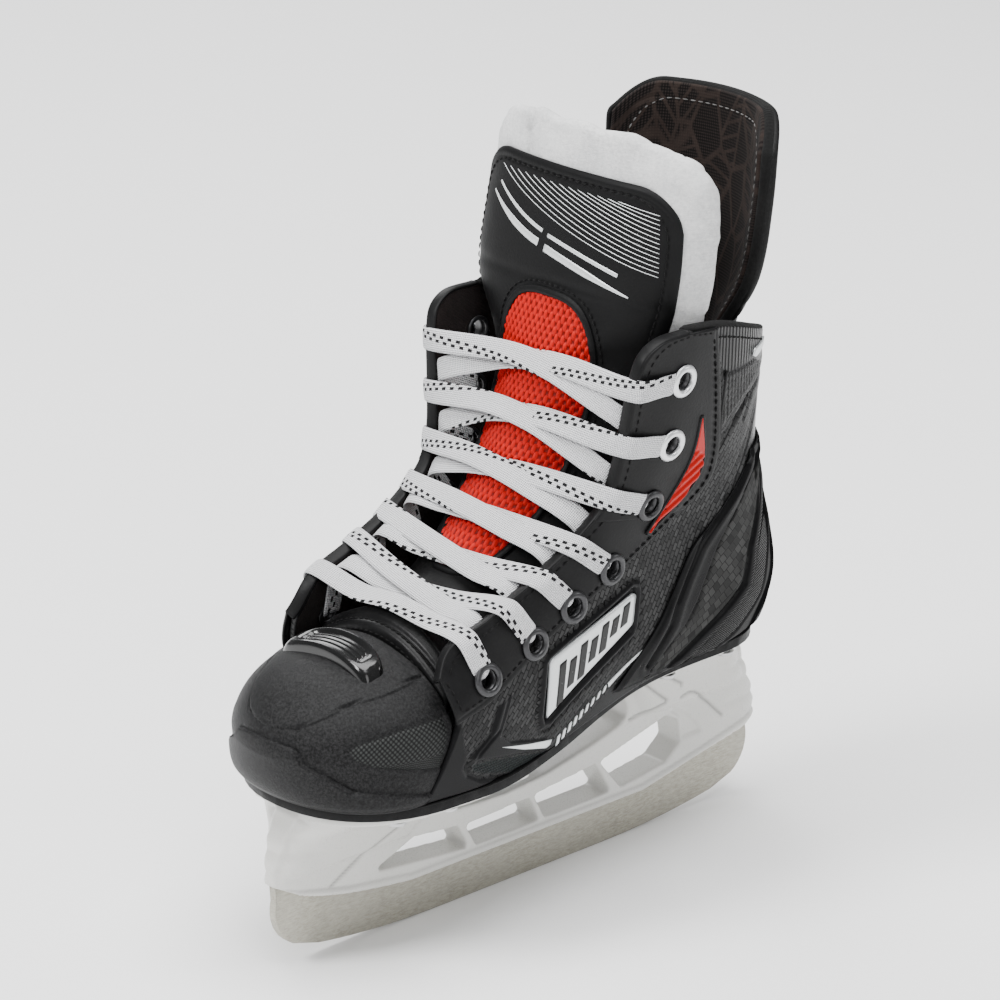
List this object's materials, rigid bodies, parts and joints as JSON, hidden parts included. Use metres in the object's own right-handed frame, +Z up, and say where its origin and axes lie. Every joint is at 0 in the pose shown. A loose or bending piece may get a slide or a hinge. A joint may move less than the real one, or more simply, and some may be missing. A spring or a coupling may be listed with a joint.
{
  "type": "ice hockey skate",
  "caption": "Laced ice hockey boot with a felt tongue and a tendon guard, on a white plastic holder with a steel runner.",
  "frame": {"origin": "middle of the runner's lower edge, where it meets the ice", "axes": "+Z up, the toe towards -Y, the heel towards +Y, the outer side of this left skate towards +X"},
  "size_m": [0.098, 0.2019, 0.2348],
  "materials": {
    "runner_steel": "fine random grain, satin",
    "holder_plastic": "semi-gloss, warm white",
    "rivet_steel": "satin",
    "outsole_plastic": "matte",
    "lasting_board": "fibre board",
    "footbed_foam": "woven top on foam",
    "toe_plastic": "fine moulded grain",
    "badge_gloss": "gloss",
    "black_leather": "smooth synthetic leather",
    "quarter_shell": "woven pattern, satin",
    "counter_gloss": "gloss with ribs",
    "eyestay_leather": "smooth synthetic leather",
    "eyelet_silver": "satin",
    "eyelet_dark": "dark gunmetal",
    "red_insert": "ribbed, satin",
    "badge_silver": "satin silver",
    "lining_fabric": "brushed textile",
    "binding_fabric": "woven edge binding",
    "white_felt": "thick felt",
    "red_mesh": "open honeycomb mesh",
    "white_lace": "flat woven with black tracer",
    "guard_plastic": "matte",
    "guard_textile": "patterned woven textile"
  },
  "bodies": {
    "boot": {"runner": "runner_steel", "holder": "holder_plastic", "holder_rivets": "rivet_steel", "outsole": "outsole_plastic", "lasting_board": "lasting_board", "footbed": "footbed_foam", "toe_cap": "toe_plastic", "toe_badge": "badge_gloss", "toe_vamp": "black_leather", "left_quarter": "quarter_shell", "right_quarter": "quarter_shell", "heel_counter": "counter_gloss", "left_eyestay": "eyestay_leather", "right_eyestay": "eyestay_leather", "upper_eyelets": "eyelet_silver", "lower_eyelets": "eyelet_dark", "left_ankle_insert": "red_insert", "right_ankle_insert": "red_insert", "left_side_badge": "badge_silver", "right_side_badge": "badge_silver", "left_lining": "lining_fabric", "right_lining": "lining_fabric", "left_collar_binding": "binding_fabric", "right_collar_binding": "binding_fabric", "tongue_felt": "white_felt", "tongue_facing": "black_leather", "tongue_mesh": "red_mesh", "lace": "white_lace", "guard_base": "guard_plastic"},
    "tongue_top": {"tongue_top_felt": "white_felt", "tongue_top_facing": "black_leather"},
    "guard": {"tendon_guard": "guard_plastic", "guard_lining": "guard_textile"}
  },
  "joints": [
    {"name": "tongue_flex", "type": "hinge", "parent": "boot", "child": "tongue_top", "pos_m": [0, 0.013, 0.188], "axis": [1, 0, 0], "range_deg": [0, 35], "stiffness_Nm_per_rad": 0.15},
    {"name": "guard_flex", "type": "hinge", "parent": "boot", "child": "guard", "pos_m": [0, 0.0825, 0.167], "axis": [-1, 0, 0], "range_deg": [0, 20], "stiffness_Nm_per_rad": 0.3}
  ]
}
